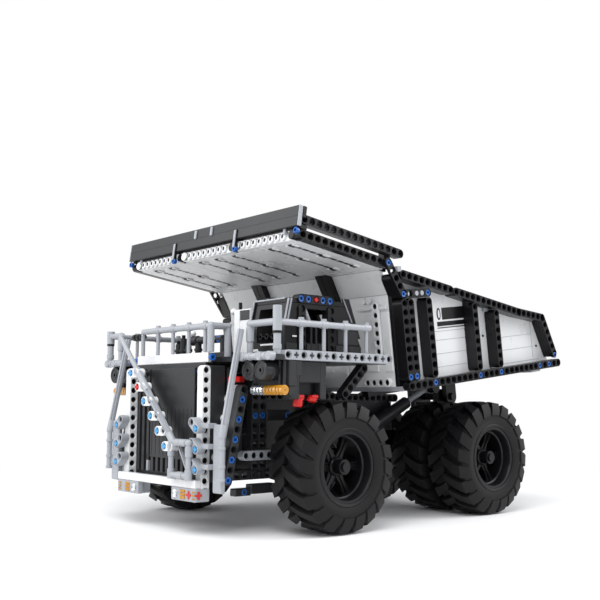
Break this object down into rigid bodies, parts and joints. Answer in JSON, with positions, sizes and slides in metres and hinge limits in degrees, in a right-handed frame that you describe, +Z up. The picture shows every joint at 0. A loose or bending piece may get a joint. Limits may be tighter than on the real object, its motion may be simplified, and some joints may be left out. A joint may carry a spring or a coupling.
{
  "type": "toy mining dump truck",
  "caption": "Pin-hole beam toy of a mining dump truck: tipping bed with a canopy, twin rear wheels, steered front wheels, stair and railed deck.",
  "frame": {"origin": "on the ground under the middle of the whole outline", "axes": "+X forward, +Y to the truck's left, +Z up"},
  "size_m": [0.4082, 0.2618, 0.2609],
  "materials": {
    "black": "smooth",
    "dark_grey": "smooth",
    "light_grey": "smooth",
    "white": "smooth",
    "red": "smooth",
    "blue": "smooth",
    "amber": "clear",
    "clear": "clear",
    "tyre": "matt"
  },
  "bodies": {
    "chassis": {"frame_rails": "black", "cross_members": "dark_grey", "rear_axle": "black", "rear_struts": "dark_grey", "front_axle": "black", "battery_block": "light_grey", "drive_block": "dark_grey", "radiator": "dark_grey", "front_posts": "white", "front_board": "white", "bumper_beam": "white", "lamp_blocks": "light_grey", "lamps_amber": "amber", "lamps_clear": "clear", "front_stair": "white", "front_handrail": "light_grey", "front_columns": "light_grey", "deck_plate": "dark_grey", "deck_posts": "black", "deck_side_beams": "light_grey", "deck_rail_left": "light_grey", "deck_rail_right": "light_grey", "deck_rail_front": "light_grey", "air_cleaners": "dark_grey", "lamp_brackets": "dark_grey", "fender_frames": "dark_grey", "red_blocks": "red", "side_ladders": "light_grey", "ladder_handrails": "light_grey", "cab_shell": "dark_grey", "cab_side_box": "white", "cab_roof": "black", "cab_seat": "black", "hoist_brackets": "black"},
    "knuckle_left": {"knuckle_left": "dark_grey"},
    "knuckle_right": {"knuckle_right": "dark_grey"},
    "steering_link": {"steering_link": "black"},
    "wheel_front_left": {"tyre_front_left": "tyre", "rim_front_left": "black"},
    "wheel_front_right": {"tyre_front_right": "tyre", "rim_front_right": "black"},
    "wheels_rear_left": {"tyres_rear_left": "tyre", "rims_rear_left": "black"},
    "wheels_rear_right": {"tyres_rear_right": "tyre", "rims_rear_right": "black"},
    "hoist_barrel_left": {"hoist_barrel_left": "dark_grey"},
    "hoist_barrel_right": {"hoist_barrel_right": "dark_grey"},
    "hoist_rod_left": {"hoist_rod_left": "light_grey"},
    "hoist_rod_right": {"hoist_rod_right": "light_grey"},
    "bed": {"bed_floor": "light_grey", "bed_side_left": "white", "bed_side_right": "white", "bed_front_wall": "white", "bed_rails": "black", "bed_ribs": "black", "bed_underframe": "black", "canopy_plate": "white", "canopy_beams": "black", "canopy_fascia": "dark_grey"}
  },
  "joints": [
    {"name": "steer_left", "type": "hinge", "parent": "chassis", "child": "knuckle_left", "pos_m": [0.092, 0.08, 0.0535], "axis": [0, 0, 1], "range_deg": [-20, 20]},
    {"name": "spin_front_left", "type": "hinge", "parent": "knuckle_left", "child": "wheel_front_left", "pos_m": [0.092, 0.1065, 0.0535], "axis": [0, 1, 0], "continuous": true},
    {"name": "spin_rear_left", "type": "hinge", "parent": "chassis", "child": "wheels_rear_left", "pos_m": [-0.108, 0.0754, 0.0535], "axis": [0, 1, 0], "continuous": true},
    {"name": "hoist_swing_left", "type": "hinge", "parent": "chassis", "child": "hoist_barrel_left", "pos_m": [0, 0.04, 0.072], "axis": [0, 1, 0], "range_deg": [0, 8.83]},
    {"name": "hoist_stroke_left", "type": "slide", "parent": "hoist_barrel_left", "child": "hoist_rod_left", "axis": [-0.9033, 0, 0.429], "range_m": [0, 0.0368]},
    {"name": "steer_right", "type": "hinge", "parent": "chassis", "child": "knuckle_right", "pos_m": [0.092, -0.08, 0.0535], "axis": [0, 0, 1], "range_deg": [-20, 20]},
    {"name": "spin_front_right", "type": "hinge", "parent": "knuckle_right", "child": "wheel_front_right", "pos_m": [0.092, -0.1065, 0.0535], "axis": [0, 1, 0], "continuous": true},
    {"name": "spin_rear_right", "type": "hinge", "parent": "chassis", "child": "wheels_rear_right", "pos_m": [-0.108, -0.0754, 0.0535], "axis": [0, 1, 0], "continuous": true},
    {"name": "hoist_swing_right", "type": "hinge", "parent": "chassis", "child": "hoist_barrel_right", "pos_m": [0, -0.04, 0.072], "axis": [0, 1, 0], "range_deg": [0, 8.83]},
    {"name": "hoist_stroke_right", "type": "slide", "parent": "hoist_barrel_right", "child": "hoist_rod_right", "axis": [-0.9033, 0, 0.429], "range_m": [0, 0.0368]},
    {"name": "steer_link", "type": "slide", "parent": "chassis", "child": "steering_link", "axis": [0, 1, 0], "range_m": [-0.0056, 0.0056]},
    {"name": "bed_tip", "type": "hinge", "parent": "chassis", "child": "bed", "pos_m": [-0.156, 0, 0.112], "axis": [0, -1, 0], "range_deg": [0, 45]}
  ],
  "couplings": [
    {"joint": "steer_right", "follows": "steer_left", "ratio": 1},
    {"joint": "steer_link", "follows": "steer_left", "m_per_rad": -0.015677},
    {"joint": "hoist_swing_left", "follows": "bed_tip", "ratio": 0.19189},
    {"joint": "hoist_stroke_left", "follows": "bed_tip", "m_per_rad": 0.046524},
    {"joint": "hoist_swing_right", "follows": "bed_tip", "ratio": 0.19189},
    {"joint": "hoist_stroke_right", "follows": "bed_tip", "m_per_rad": 0.046524}
  ]
}
